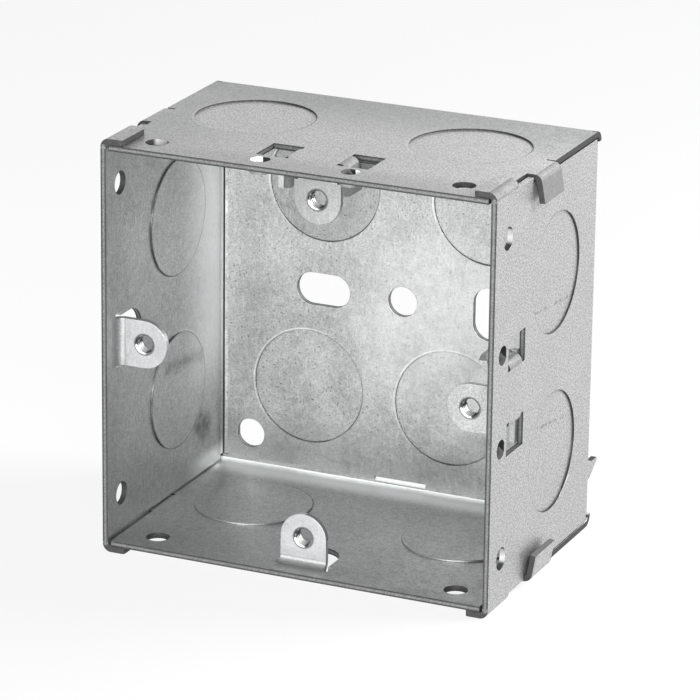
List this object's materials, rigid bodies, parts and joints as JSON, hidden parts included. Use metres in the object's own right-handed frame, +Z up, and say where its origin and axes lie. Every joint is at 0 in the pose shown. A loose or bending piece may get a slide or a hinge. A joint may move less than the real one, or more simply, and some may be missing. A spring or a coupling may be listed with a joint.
{
  "type": "flush back box",
  "caption": "Square flush back box folded from one galvanised sheet, with an open front, conduit knockouts, fixed screw lugs and adjustable screw lugs that slide along their walls.",
  "frame": {"origin": "middle of the back's outer face, on the axis of the round fixing hole", "axes": "+X to the right as seen from the open front, +Y into the box towards the wall that it is set in, +Z up"},
  "size_m": [0.076, 0.0489, 0.0742],
  "materials": {
    "galvanised_sheet": "galvanised sheet, satin, fine mottled spangle with specks and light rubs",
    "galvanised_lug": "galvanised sheet, satin, a little brighter than the box"
  },
  "bodies": {
    "box": {"box_body": "galvanised_sheet"},
    "top_lug": {"top_adjustable_lug": "galvanised_lug"},
    "right_lug": {"right_adjustable_lug": "galvanised_lug"}
  },
  "joints": [
    {"name": "top_lug_slide", "type": "slide", "parent": "box", "child": "top_lug", "axis": [-1, 0, 0], "range_m": [0, 0.004]},
    {"name": "right_lug_slide", "type": "slide", "parent": "box", "child": "right_lug", "axis": [0, 0, 1], "range_m": [0, 0.004]}
  ]
}
